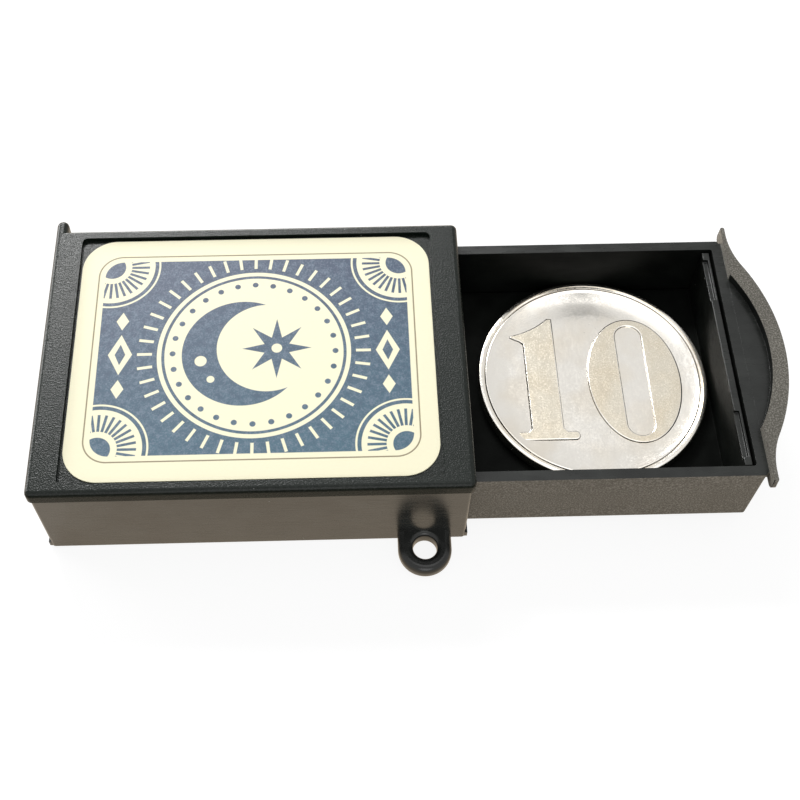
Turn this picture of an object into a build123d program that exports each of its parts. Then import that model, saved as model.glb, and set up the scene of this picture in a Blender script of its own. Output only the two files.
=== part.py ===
"""A pocket magic drawer box: sleeve, label, drawer with a bow-shaped lip, inner slide and play coin.

Millimetres. +X is the way the drawer opens, -Y is the side with the key loop, +Z is up. The origin is the
centre of the sleeve's underside. The drawer stands open, with the inner slide and its coin pulled along.
"""

import os
from math import tan, radians

from build123d import *

# ---------------------------------------------------------------- sleeve
sleeve_length = 60.0
sleeve_width = 43.6
floor_plate = 1.5  # thickness of the sleeve's floor
side_wall = 1.5  # thickness of a side wall at its top
bay_height = 14.3  # from the floor plate to the lid
wall_draft = 1.0  # degrees that the outer faces lean in towards the foot
lid_thickness = 2.2
lid_side_overhang = 0.2  # lid past the side walls, along Y
lid_end_overhang = 0.45  # lid past the ends of the side walls, along X
plate_end_inset = 0.15  # floor plate short of the lid's ends
foot_radius = 0.5  # along the sleeve's lower edges
lid_corner_radius = 0.85
lid_edge_radius = 0.8

# ear at the lid's far left corner
ear_width = 1.75
ear_reach = 1.95  # past the lid's far edge
ear_root = 3.0  # how far its straight part runs back into the lid
ear_tip_radius = 0.85

# recess in the lid and the label in it
recess_end_margin = 4.15
recess_side_margin = 1.6
recess_depth = 0.7
recess_radius = 0.8
label_thickness = 0.2
label_gap = 0.35  # all round the label
label_radius = 5.0

# key loop at the foot of the near wall
loop_place = 23.6  # along X
loop_outer_radius = 3.8
loop_bore_radius = 1.7
loop_stand_off = 2.4  # bore axis to the foot of the wall
loop_thickness = 2.6
loop_foot = 0.3  # loop above the sleeve's underside
loop_outer_rounding = 1.0
loop_bore_rounding = 0.7
loop_embed = 0.5  # how deep the loop runs into the wall

# ---------------------------------------------------------------- drawer
side_clearance = 0.4  # drawer to the bay's side walls
floor_clearance = 0.3  # drawer to the bay's floor
rim_gap = 0.9  # drawer's rim to the lid
drawer_length = 58.5
drawer_opening = 40.0  # how far it stands open
drawer_wall = 1.5  # side wall at the rim
drawer_front = 1.2
drawer_floor = 1.5
drawer_foot_radius = 0.8
drawer_front_radius = 0.4  # round the front wall's sides and foot

# bow-shaped lip on the drawer's front
stop_gap = 0.2  # lip to the sleeve's end when shut
lip_offset = 0.3  # inner face of the lip in front of the front wall
lip_ear_thickness = 0.6
lip_ear_reach = 1.55  # past the drawer's sides
lip_ear_width = 1.38  # straight stretch of each ear
lip_bow_reach = 5.6  # lip's outline at its middle, from its inner face
lip_neck_radius = 12.0
lip_hollow_half_chord = 12.6
lip_hollow_depth = 3.4
lip_rise = 1.4  # band above the rim
shelf_thickness = 1.4  # finger shelf under the rim level
lip_tip_radius = 0.25
lip_edge_radius = 0.2

# ---------------------------------------------------------------- inner slide
slide_side_gap = 0.3  # inner slide to the drawer's walls
slide_floor_gap = 0.15
slide_front_gap = 0.4
slide_length = 56.5
slide_floor = 1.4
slide_lip = 1.05  # thickness of its front and rear lips
slide_lip_drop = 0.4  # top of the lips under the drawer's rim
slide_post = 1.3  # full-height post at each end of the front lip
slide_step_length = 7.2
slide_step_depth = 0.6
slide_step_backing = 0.35  # thin wall left behind a step

# ---------------------------------------------------------------- coin
coin_thickness = 2.0
coin_seat_gap = 0.05
coin_front_gap = 0.45  # coin to the front lip
coin_far_gap = 0.15  # coin to the drawer's far wall
coin_near_gap = 2.05  # coin to the drawer's near wall
coin_rim_width = 1.55
coin_field_depth = 0.5
coin_edge_rounding = 0.3
digit_rise = 0.25
one_height = 21.0
one_lift = 0.25  # middle of the one above the coin's centre, along Y
one_stem_width = 4.85
one_place = -7.45
one_base_width = 9.3
one_base_height = 1.5
one_flag_reach = 1.95  # flag past the stem
one_flag_drop = 3.4  # tip of the flag below the top
one_flag_thickness = 1.6
one_top_width = 0.8
one_base_rounding = 0.6
zero_height = 21.3
zero_drop = 0.35  # middle of the nought below the coin's centre, along Y
zero_width = 14.0
zero_place = 6.3
zero_counter_width = 3.9
zero_counter_height = 18.7

# ---------------------------------------------------------------- places worked out from the sizes
half_length = sleeve_length / 2
half_width = sleeve_width / 2
lid_underside = floor_plate + bay_height
lid_top = lid_underside + lid_thickness
recess_level = lid_top - recess_depth
wall_outer = half_width - lid_side_overhang  # outer face of a side wall, at the lid
wall_inner = wall_outer - side_wall
wall_foot = wall_outer - tan(radians(wall_draft)) * lid_underside  # outer face at the underside
plate_length = sleeve_length - 2 * plate_end_inset

drawer_half_width = wall_inner - side_clearance
drawer_inner_half = drawer_half_width - drawer_wall
drawer_underside = floor_plate + floor_clearance
rim_level = lid_underside - rim_gap
drawer_height = rim_level - drawer_underside
drawer_foot_half = drawer_half_width - tan(radians(wall_draft)) * drawer_height
drawer_floor_level = drawer_underside + drawer_floor
front_shut = half_length + stop_gap - lip_offset
front_plane = front_shut + drawer_opening
drawer_rear = front_plane - drawer_length
front_inner = front_plane - drawer_front

slide_half_width = drawer_inner_half - slide_side_gap
slide_front = front_inner - slide_front_gap
slide_rear = slide_front - slide_length
slide_underside = drawer_floor_level + slide_floor_gap
slide_level = slide_underside + slide_floor
slide_lip_level = rim_level - slide_lip_drop

coin_radius = drawer_inner_half - (coin_far_gap + coin_near_gap) / 2
coin_x = slide_front - slide_lip - coin_front_gap - coin_radius
coin_y = drawer_inner_half - coin_far_gap - coin_radius
coin_underside = slide_level + coin_seat_gap
coin_face = coin_underside + coin_thickness
coin_field = coin_face - coin_field_depth


def bar(x_from, x_to, half, level_from, level_to):
    """Add a block between two X places and two levels, as wide as twice half, to the part being made."""
    with Locations(((x_from + x_to) / 2, 0, (level_from + level_to) / 2)):
        Box(x_to - x_from, 2 * half, level_to - level_from)


def save(part, name):
    """Label a finished piece and write it as its own STEP file."""
    part.label = name
    export_step(part, f"parts/{name}.step")


os.makedirs("parts", exist_ok=True)

# ---------------------------------------------------------------- sleeve base
loop_y = -wall_foot - loop_stand_off

with BuildPart() as sleeve_base:
    # key loop: an eye with a straight neck, rounded all over and cut off flat inside the wall
    with BuildSketch(Plane.XY.offset(loop_foot)) as loop_plan:
        with Locations((loop_place, loop_y)):
            Circle(loop_outer_radius)
            Rectangle(
                2 * loop_outer_radius, 2 * loop_outer_radius, align=(Align.CENTER, Align.MIN)
            )
            Circle(loop_bore_radius, mode=Mode.SUBTRACT)
    extrude(amount=loop_thickness)
    bore_edges = sleeve_base.edges().filter_by(
        lambda edge: edge.geom_type == GeomType.CIRCLE and edge.radius < loop_outer_radius
    )
    outline_edges = sleeve_base.edges().filter_by(Plane.XY) - bore_edges
    fillet(outline_edges, loop_outer_rounding)
    bore_edges = sleeve_base.edges().filter_by(
        lambda edge: edge.geom_type == GeomType.CIRCLE and edge.is_closed
    )
    fillet(bore_edges, loop_bore_rounding)
    with Locations((loop_place, loop_embed - wall_foot, loop_foot + loop_thickness / 2)):
        Box(
            2 * loop_outer_radius,
            2 * loop_outer_radius,
            2 * loop_thickness,
            align=(Align.CENTER, Align.MIN, Align.CENTER),
            mode=Mode.SUBTRACT,
        )

    # side walls, thinner towards the foot
    wall_ends = half_length - lid_end_overhang
    with BuildSketch(Plane.YZ) as wall_section:
        with BuildLine():
            Polyline(
                (wall_foot, 0),
                (wall_outer, lid_underside),
                (wall_inner, lid_underside),
                (wall_inner, 0),
                close=True,
            )
        make_face()
        fillet(wall_section.vertices().group_by(Axis.Y)[0].sort_by(Axis.X)[-1], foot_radius)
        mirror(about=Plane.YZ)
    extrude(amount=wall_ends, both=True)

    # floor plate
    with BuildSketch(Plane.YZ) as plate_section:
        Rectangle(2 * wall_foot, floor_plate, align=(Align.CENTER, Align.MIN))
        fillet(plate_section.vertices().group_by(Axis.Y)[0], foot_radius)
    extrude(amount=plate_length / 2, both=True)

save(sleeve_base.part, "sleeve_base")

# ---------------------------------------------------------------- sleeve lid
with BuildPart() as sleeve_lid:
    with BuildSketch(Plane.XY.offset(lid_underside)) as lid_plan:
        Rectangle(sleeve_length, sleeve_width)
        far_left = lid_plan.vertices().group_by(Axis.X)[0].sort_by(Axis.Y)[-1]
        fillet(lid_plan.vertices().filter_by(lambda v: v != far_left), lid_corner_radius)
        with Locations((-half_length, half_width + ear_reach)):
            RectangleRounded(
                ear_width, ear_root + ear_reach, ear_tip_radius, align=(Align.MIN, Align.MAX)
            )
    extrude(amount=lid_thickness)
    fillet(sleeve_lid.faces().sort_by(Axis.Z)[-1].edges(), lid_edge_radius)
    with BuildSketch(Plane.XY.offset(lid_top)) as recess_plan:
        RectangleRounded(
            sleeve_length - 2 * recess_end_margin, sleeve_width - 2 * recess_side_margin, recess_radius
        )
    extrude(amount=-recess_depth, mode=Mode.SUBTRACT)

save(sleeve_lid.part, "sleeve_lid")

# ---------------------------------------------------------------- label
with BuildPart() as label:
    with BuildSketch(Plane.XY.offset(recess_level)) as label_plan:
        RectangleRounded(
            sleeve_length - 2 * (recess_end_margin + label_gap),
            sleeve_width - 2 * (recess_side_margin + label_gap),
            label_radius,
        )
    extrude(amount=label_thickness)

save(label.part, "label")

# ---------------------------------------------------------------- drawer
lip_inner = front_plane + lip_offset
lip_half = drawer_half_width + lip_ear_reach
neck_end = lip_half - lip_ear_width
bow_rise = lip_bow_reach - lip_ear_thickness
arc_radii = (neck_end**2 + bow_rise**2) / (2 * bow_rise)  # bow and neck, which run into each other
bow_radius = arc_radii - lip_neck_radius
bow_centre = lip_inner + lip_bow_reach - bow_radius
neck_centre = lip_inner + lip_ear_thickness + lip_neck_radius
bow_share = bow_radius / arc_radii
bow_end = (bow_centre + (neck_centre - bow_centre) * bow_share, neck_end * bow_share)


# plan of the lip: straight inner edge, two ears, two hollow necks and the bow between them
ear_face = lip_inner + lip_ear_thickness
with BuildSketch() as lip_plan:
    with BuildLine():
        Line((lip_inner, lip_half), (lip_inner, -lip_half))
        Line((lip_inner, -lip_half), (ear_face, -lip_half))
        Line((ear_face, -lip_half), (ear_face, -neck_end))
        RadiusArc((ear_face, -neck_end), (bow_end[0], -bow_end[1]), lip_neck_radius)
        ThreePointArc(
            (bow_end[0], -bow_end[1]), (lip_inner + lip_bow_reach, 0), (bow_end[0], bow_end[1])
        )
        RadiusArc((bow_end[0], bow_end[1]), (ear_face, neck_end), lip_neck_radius)
        Line((ear_face, neck_end), (ear_face, lip_half))
        Line((ear_face, lip_half), (lip_inner, lip_half))
    make_face()
    ear_corners = lip_plan.vertices().filter_by(lambda v: abs(v.Y) > lip_half - lip_tip_radius)
    fillet(ear_corners, lip_tip_radius)

with BuildPart() as drawer:
    # side walls and floor from one section, with leaning sides and rounded feet
    with BuildSketch(Plane.YZ.offset(drawer_rear)) as drawer_section:
        with BuildLine():
            Polyline(
                (-drawer_foot_half, drawer_underside),
                (-drawer_half_width, rim_level),
                (drawer_half_width, rim_level),
                (drawer_foot_half, drawer_underside),
                close=True,
            )
        make_face()
        fillet(drawer_section.vertices().group_by(Axis.Y)[0], drawer_foot_radius)
    extrude(amount=drawer_length)
    front_edges = drawer.faces().sort_by(Axis.X)[-1].edges().group_by(Axis.Z)
    fillet([edge for level in front_edges[:-1] for edge in level], drawer_front_radius)
    with Locations(((drawer_rear + front_inner) / 2, 0, (drawer_floor_level + rim_level) / 2)):
        Box(
            front_inner - drawer_rear,
            2 * drawer_inner_half,
            rim_level - drawer_floor_level,
            mode=Mode.SUBTRACT,
        )

    # finger shelf and the lower half of the lip
    with BuildSketch(Plane.XY.offset(rim_level - shelf_thickness)) as shelf_plan:
        add(lip_plan.sketch)
        with Locations(((front_plane + lip_inner) / 2, 0)):
            Rectangle(lip_offset, 2 * drawer_half_width)
    extrude(amount=shelf_thickness)

    # raised band round the shelf
    with BuildSketch(Plane.XY.offset(rim_level)) as band_plan:
        add(lip_plan.sketch)
        with BuildLine():
            Line((lip_inner, lip_hollow_half_chord), (lip_inner, -lip_hollow_half_chord))
            ThreePointArc(
                (lip_inner, -lip_hollow_half_chord),
                (lip_inner + lip_hollow_depth, 0),
                (lip_inner, lip_hollow_half_chord),
            )
        make_face(mode=Mode.SUBTRACT)
    extrude(amount=lip_rise)
    fillet(drawer.faces().sort_by(Axis.Z)[-1].edges(), lip_edge_radius)

save(drawer.part, "drawer")

# ---------------------------------------------------------------- inner slide
with BuildPart() as coin_slide:
    bar(slide_rear, slide_front, slide_half_width, slide_underside, slide_level)
    bar(slide_front - slide_lip, slide_front, slide_half_width, slide_underside, slide_lip_level)
    bar(slide_rear, slide_rear + slide_lip, slide_half_width, slide_underside, slide_lip_level)
    # two steps in the coin side of the front lip
    step_middle = slide_half_width - slide_post - slide_step_length / 2
    for side in (-1, 1):
        with Locations((slide_front - slide_lip, side * step_middle, slide_lip_level)):
            Box(
                slide_lip - slide_step_backing,
                slide_step_length,
                slide_step_depth,
                align=(Align.MIN, Align.CENTER, Align.MAX),
                mode=Mode.SUBTRACT,
            )

save(coin_slide.part, "coin_slide")

# ---------------------------------------------------------------- coin
field_radius = coin_radius - coin_rim_width
one_x = coin_x + one_place
one_half = one_stem_width / 2
one_top = coin_y + one_lift + one_height / 2
one_foot = coin_y + one_lift - one_height / 2

with BuildPart() as coin:
    with BuildSketch(Plane.XY.offset(coin_underside)) as coin_plan:
        with Locations((coin_x, coin_y)):
            Circle(coin_radius)
    extrude(amount=coin_thickness)
    fillet(coin.edges().filter_by(GeomType.CIRCLE), coin_edge_rounding)
    with BuildSketch(Plane.XY.offset(coin_face)) as field_plan:
        with Locations((coin_x, coin_y)):
            Circle(field_radius)
    extrude(amount=-coin_field_depth, mode=Mode.SUBTRACT)

    # the digit one: stem with a slanting flag, on a slab foot
    with BuildSketch(Plane.XY.offset(coin_field)) as one_plan:
        with BuildLine():
            Polyline(
                (one_x - one_half, one_foot),
                (one_x - one_half, one_top - one_flag_drop - one_flag_thickness),
                (one_x - one_half - one_flag_reach, one_top - one_flag_drop - one_flag_thickness / 4),
                (one_x - one_half - one_flag_reach, one_top - one_flag_drop + one_flag_thickness / 4),
                (one_x + one_half - one_top_width, one_top),
                (one_x + one_half, one_top),
                (one_x + one_half, one_foot),
                close=True,
            )
        make_face()
        with Locations((one_x, one_foot)):
            RectangleRounded(
                one_base_width, one_base_height, one_base_rounding, align=(Align.CENTER, Align.MIN)
            )
        with Locations((coin_x, coin_y)):
            Circle(field_radius, mode=Mode.INTERSECT)
    extrude(amount=digit_rise)

    # the digit nought: an oval with a tall narrow counter
    with BuildSketch(Plane.XY.offset(coin_field)) as nought_plan:
        with Locations((coin_x + zero_place, coin_y - zero_drop)):
            Ellipse(zero_width / 2, zero_height / 2)
            SlotOverall(zero_counter_height, zero_counter_width, rotation=90, mode=Mode.SUBTRACT)
        with Locations((coin_x, coin_y)):
            Circle(field_radius, mode=Mode.INTERSECT)
    extrude(amount=digit_rise)

save(coin.part, "coin")
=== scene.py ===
"""The looks of a pocket magic drawer box: sleeve with its label, drawer, inner slide and play coin.

Metres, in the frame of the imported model: +X is the way the drawer opens, -Y is the side with the key
loop and +Z is up. Every piece is modelled round the box of the node that it stands for.
"""

import logging
import math
from dataclasses import dataclass, field
from enum import Enum
from typing import Any, Callable, Sequence

import bmesh
import bpy
from mathutils import Matrix, Vector

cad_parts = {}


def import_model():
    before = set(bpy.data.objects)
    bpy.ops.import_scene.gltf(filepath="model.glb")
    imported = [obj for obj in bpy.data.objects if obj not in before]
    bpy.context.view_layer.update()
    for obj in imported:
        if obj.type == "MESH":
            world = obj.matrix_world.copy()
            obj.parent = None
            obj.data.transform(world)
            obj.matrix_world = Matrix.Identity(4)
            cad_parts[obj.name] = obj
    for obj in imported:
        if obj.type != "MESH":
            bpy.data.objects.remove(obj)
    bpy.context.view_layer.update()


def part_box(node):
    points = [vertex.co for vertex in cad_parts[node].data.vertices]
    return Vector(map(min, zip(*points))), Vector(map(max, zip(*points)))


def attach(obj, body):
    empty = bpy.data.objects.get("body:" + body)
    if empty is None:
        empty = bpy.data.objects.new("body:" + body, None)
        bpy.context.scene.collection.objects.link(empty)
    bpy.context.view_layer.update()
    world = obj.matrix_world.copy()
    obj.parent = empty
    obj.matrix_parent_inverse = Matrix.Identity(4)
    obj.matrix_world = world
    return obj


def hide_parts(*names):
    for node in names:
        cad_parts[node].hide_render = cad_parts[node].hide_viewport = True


MM = 0.001
SMOOTH_ANGLE = math.radians(32)
FLAT_ANGLE = math.radians(0.2)  # under it two faces are made one
SHARP_ANGLE = math.radians(38)  # over it an edge is rounded
NEAR = 0.01 * MM  # how close two places are that count as one
MERGE = 1e-7  # how close two vertices are that are merged

Colour = tuple[float, float, float]
Point = tuple[float, float, float]

log = logging.getLogger("drawer_box")


# ---------------------------------------------------------------- modelling


class Pick(Enum):
    """What an edit-mode step selects."""

    VERTICES = "VERT"
    EDGES = "EDGE"
    FACES = "FACE"


class Joining(Enum):
    """How one solid meets another."""

    ADD = "UNION"
    CUT = "DIFFERENCE"


def place(colour: Colour) -> tuple[float, float, float, float]:
    """Give a colour its alpha."""
    return (*colour, 1.0)


def runs_along(edge: bmesh.types.BMEdge, axis: int) -> bool:
    """Tell whether an edge runs along one axis (0, 1 or 2)."""
    span = edge.verts[1].co - edge.verts[0].co
    return abs(span[axis]) > 0.999 * span.length


def middle(edge: bmesh.types.BMEdge) -> Vector:
    """Give the middle of an edge."""
    return (edge.verts[0].co + edge.verts[1].co) / 2


def is_level(edge: bmesh.types.BMEdge) -> bool:
    """Tell whether an edge lies level."""
    return abs(edge.verts[0].co.z - edge.verts[1].co.z) < 1e-6


def is_top_outline(edge: bmesh.types.BMEdge, top: float) -> bool:
    """Tell whether an edge bounds a piece's top face.

    Args:
        edge: The edge.
        top: The top face's level.

    Returns:
        True where one of its faces looks up and the other sideways.
    """
    ups = [face.normal.z > 0.9 for face in edge.link_faces]
    return middle(edge).z > top - NEAR and ups.count(True) == 1


def everything(element: Any) -> bool:
    """Pass every vertex, edge or face."""
    return True


class Blank:
    """A mesh piece as it is modelled by hand: a primitive, the steps that shape it, and its finish.

    Attributes:
        item: The Blender object. It sits at the origin, with its place in its mesh.
    """

    def __init__(self, name: str) -> None:
        """Take over the primitive that was just added.

        Args:
            name: The piece's name.
        """
        self.item = bpy.context.active_object
        self.item.name = name
        self.item.data.name = name
        bpy.ops.object.transform_apply(location=True, rotation=True, scale=True)

    @classmethod
    def block(cls, name: str, low: Sequence[float], high: Sequence[float]) -> "Blank":
        """Start from a cube between two corners.

        Args:
            name: The piece's name.
            low: Its lowest corner.
            high: Its highest corner.

        Returns:
            The new piece.
        """
        bpy.ops.object.select_all(action="DESELECT")
        start, end = Vector(low), Vector(high)
        bpy.ops.mesh.primitive_cube_add(size=1, location=(start + end) / 2, scale=end - start)
        return cls(name)

    @classmethod
    def rod(cls, name: str, centre: Point, radius: float, height: float, sides: int = 128) -> "Blank":
        """Start from an upright cylinder.

        Args:
            name: The piece's name.
            centre: The middle of its foot.
            radius: Its radius.
            height: Its height.
            sides: How many flats stand for its round side.

        Returns:
            The new piece.
        """
        bpy.ops.object.select_all(action="DESELECT")
        spot = (centre[0], centre[1], centre[2] + height / 2)
        bpy.ops.mesh.primitive_cylinder_add(vertices=sides, radius=radius, depth=height, location=spot)
        return cls(name)

    @classmethod
    def point(cls, name: str, spot: Point) -> "Blank":
        """Start from a single vertex, from which an outline is drawn out.

        Args:
            name: The piece's name.
            spot: Where the vertex lies.

        Returns:
            The new piece, with one vertex.
        """
        bpy.ops.object.select_all(action="DESELECT")
        bpy.ops.mesh.primitive_plane_add(size=MM, location=spot)
        blank = cls(name)
        blank.enter()
        bpy.ops.mesh.select_all(action="SELECT")
        bpy.ops.mesh.merge(type="CENTER")
        blank.leave()
        return blank

    def activate(self) -> None:
        """Make this the only selected object, and the active one."""
        bpy.ops.object.select_all(action="DESELECT")
        self.item.select_set(True)
        bpy.context.view_layer.objects.active = self.item

    def enter(self) -> None:
        """Go into edit mode on this piece."""
        self.activate()
        bpy.ops.object.mode_set(mode="EDIT")

    def leave(self) -> None:
        """Go back to object mode."""
        bpy.ops.object.mode_set(mode="OBJECT")

    def shape(
        self, kind: Pick, test: Callable[[Any], bool], operator: Callable[..., Any], **settings: Any
    ) -> "Blank":
        """Select what passes a test and run one edit-mode operator on it.

        Args:
            kind: Whether vertices, edges or faces are selected.
            test: Tells whether an element is selected.
            operator: The edit-mode operator.
            **settings: The operator's settings.

        Returns:
            This piece.
        """
        self.enter()
        bpy.ops.mesh.select_mode(type=kind.value)
        bpy.ops.mesh.select_all(action="DESELECT")
        cage = bmesh.from_edit_mesh(self.item.data)
        elements = {Pick.VERTICES: cage.verts, Pick.EDGES: cage.edges, Pick.FACES: cage.faces}[kind]
        for element in elements:
            if test(element):
                element.select_set(True)
        cage.select_flush_mode()
        bmesh.update_edit_mesh(self.item.data)
        operator(**settings)
        self.leave()
        return self

    def round_edges(self, test: Callable[[Any], bool], radius: float, steps: int = 5) -> "Blank":
        """Round the edges that pass a test.

        Args:
            test: Tells whether an edge is rounded.
            radius: The rounding's radius.
            steps: How many flats it has.

        Returns:
            This piece.
        """
        return self.shape(Pick.EDGES, test, bpy.ops.mesh.bevel, offset=radius, segments=steps, affect="EDGES")

    def draw(self, spots: Sequence[Point]) -> "Blank":
        """Draw the outline on from its last vertex, straight through a few points.

        Args:
            spots: The points.

        Returns:
            This piece.
        """
        for spot in spots:
            last = self.item.data.vertices[-1].co.copy()
            self.shape(
                Pick.VERTICES,
                lambda vertex: (vertex.co - last).length < 1e-9,
                bpy.ops.mesh.extrude_region_move,
                TRANSFORM_OT_translate={"value": Vector(spot) - last},
            )
        return self

    def sweep(self, centre: Point, angle: float, steps: int) -> "Blank":
        """Draw the outline on from its last vertex, round an upright axis.

        Args:
            centre: A point of the axis.
            angle: How far, anticlockwise seen from above.
            steps: How many straight pieces stand for the arc.

        Returns:
            This piece.
        """
        last = self.item.data.vertices[-1].co.copy()
        return self.shape(
            Pick.VERTICES,
            lambda vertex: (vertex.co - last).length < 1e-9,
            bpy.ops.mesh.spin,
            steps=steps,
            angle=-angle,
            center=centre,
            axis=(0, 0, 1),
        )

    def fill_and_raise(self, height: float) -> "Blank":
        """Fill the closed outline with a face and raise it into a solid.

        Args:
            height: How high.

        Returns:
            This piece.
        """
        self.enter()
        bpy.ops.mesh.select_all(action="SELECT")
        bpy.ops.mesh.remove_doubles(threshold=MERGE)
        bpy.ops.mesh.select_all(action="SELECT")
        bpy.ops.mesh.edge_face_add()
        bpy.ops.mesh.extrude_region_move(TRANSFORM_OT_translate={"value": (0, 0, height)})
        bpy.ops.mesh.select_all(action="SELECT")
        bpy.ops.mesh.normals_make_consistent(inside=False)
        self.leave()
        return self

    def lean(self, half_at_foot: float, half_at_top: float, middle_z: float) -> "Blank":
        """Bring the foot in along Y, as the draft of a moulding does.

        Args:
            half_at_foot: Half the width wanted at the foot.
            half_at_top: Half the width at the top.
            middle_z: A level between the foot and the top.

        Returns:
            This piece.
        """
        return self.shape(
            Pick.VERTICES,
            lambda vertex: vertex.co.z < middle_z,
            bpy.ops.transform.resize,
            value=(1, half_at_foot / half_at_top, 1),
            center_override=(0, 0, 0),
        )

    def combine(self, other: "Blank", how: Joining) -> "Blank":
        """Add another solid to this one or cut it away, and use it up.

        Args:
            other: The other solid.
            how: Whether it is added or cut.

        Returns:
            This piece.
        """
        step = self.item.modifiers.new(how.name.lower(), "BOOLEAN")
        step.operation = how.value
        step.solver = "EXACT"
        step.object = other.item
        self.activate()
        bpy.ops.object.modifier_apply(modifier=step.name)
        bpy.data.objects.remove(other.item)
        return self

    def soften(self, radius: float, steps: int = 3) -> "Blank":
        """Round every edge that is still sharp, as a mould leaves it.

        Args:
            radius: The rounding's radius.
            steps: How many flats it has.

        Returns:
            This piece.
        """
        self.enter()
        bpy.ops.mesh.select_all(action="SELECT")
        bpy.ops.mesh.remove_doubles(threshold=MERGE)
        bpy.ops.mesh.dissolve_limited(angle_limit=FLAT_ANGLE)
        self.leave()
        step = self.item.modifiers.new("rounding", "BEVEL")
        step.width = radius
        step.segments = steps
        step.limit_method = "ANGLE"
        step.angle_limit = SHARP_ANGLE
        self.activate()
        bpy.ops.object.modifier_apply(modifier=step.name)
        return self

    def finish(self) -> "Blank":
        """Smooth the shading, with flat faces kept flat."""
        self.activate()
        bpy.ops.object.shade_smooth_by_angle(angle=SMOOTH_ANGLE)
        step = self.item.modifiers.new("flat_faces", "WEIGHTED_NORMAL")
        step.keep_sharp = True
        bpy.ops.object.modifier_apply(modifier=step.name)
        return self

    def hand_over(self, material: bpy.types.Material, body: str, node: str, slot: str) -> None:
        """Give the finished piece its material and its place in the frame.

        Args:
            material: Its material.
            body: The body that it rides on.
            node: The node that it stands for.
            slot: The record's material slot; not used.
        """
        self.item.data.materials.clear()
        self.item.data.materials.append(material)
        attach(self.item, body)
        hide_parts(node)
        log.info("%s on %s: %d faces", self.item.name, body, len(self.item.data.polygons))


# ---------------------------------------------------------------- finishes


class Field:
    """A number that varies over a surface, with arithmetic: the output of a shader node."""

    def __init__(self, tree: bpy.types.NodeTree, socket: bpy.types.NodeSocket) -> None:
        """Wrap an output socket.

        Args:
            tree: The node tree that it is in.
            socket: The socket.
        """
        self.tree = tree
        self.socket = socket

    def apply(self, operation: str, *others: "Field | float") -> "Field":
        """Run one Math node on this and other values.

        Args:
            operation: The Math node's operation.
            *others: The other inputs.

        Returns:
            The result.
        """
        node = self.tree.nodes.new("ShaderNodeMath")
        node.operation = operation
        for slot, value in zip(node.inputs, (self, *others)):
            if isinstance(value, Field):
                self.tree.links.new(value.socket, slot)
            else:
                slot.default_value = value
        return Field(self.tree, node.outputs[0])

    def __add__(self, other: "Field | float") -> "Field":
        """Add."""
        return self.apply("ADD", other)

    def __sub__(self, other: "Field | float") -> "Field":
        """Subtract."""
        return self.apply("SUBTRACT", other)

    def __rsub__(self, other: float) -> "Field":
        """Subtract this from a number."""
        return (-self).apply("ADD", other)

    def __mul__(self, other: "Field | float") -> "Field":
        """Multiply."""
        return self.apply("MULTIPLY", other)

    def __neg__(self) -> "Field":
        """Turn the sign round."""
        return self.apply("MULTIPLY", -1.0)

    def __abs__(self) -> "Field":
        """Drop the sign."""
        return self.apply("ABSOLUTE")

    def __or__(self, other: "Field") -> "Field":
        """Join two shapes given as distances."""
        return self.apply("MINIMUM", other)

    def __and__(self, other: "Field") -> "Field":
        """Keep what two shapes given as distances share."""
        return self.apply("MAXIMUM", other)

    def less(self, other: "Field") -> "Field":
        """Cut one shape given as a distance out of another."""
        return self & -other

    def ramp(self, low: float, high: float, low_value: float = 0.0, high_value: float = 1.0) -> "Field":
        """Map a range to another, held at its ends.

        Args:
            low: Where it starts.
            high: Where it ends.
            low_value: The value up to low.
            high_value: The value from high on.

        Returns:
            The mapped field.
        """
        node = self.tree.nodes.new("ShaderNodeMapRange")
        self.tree.links.new(self.socket, node.inputs["Value"])
        names = ("From Min", "From Max", "To Min", "To Max")
        for name, value in zip(names, (low, high, low_value, high_value)):
            node.inputs[name].default_value = value
        return Field(self.tree, node.outputs["Result"])


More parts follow.
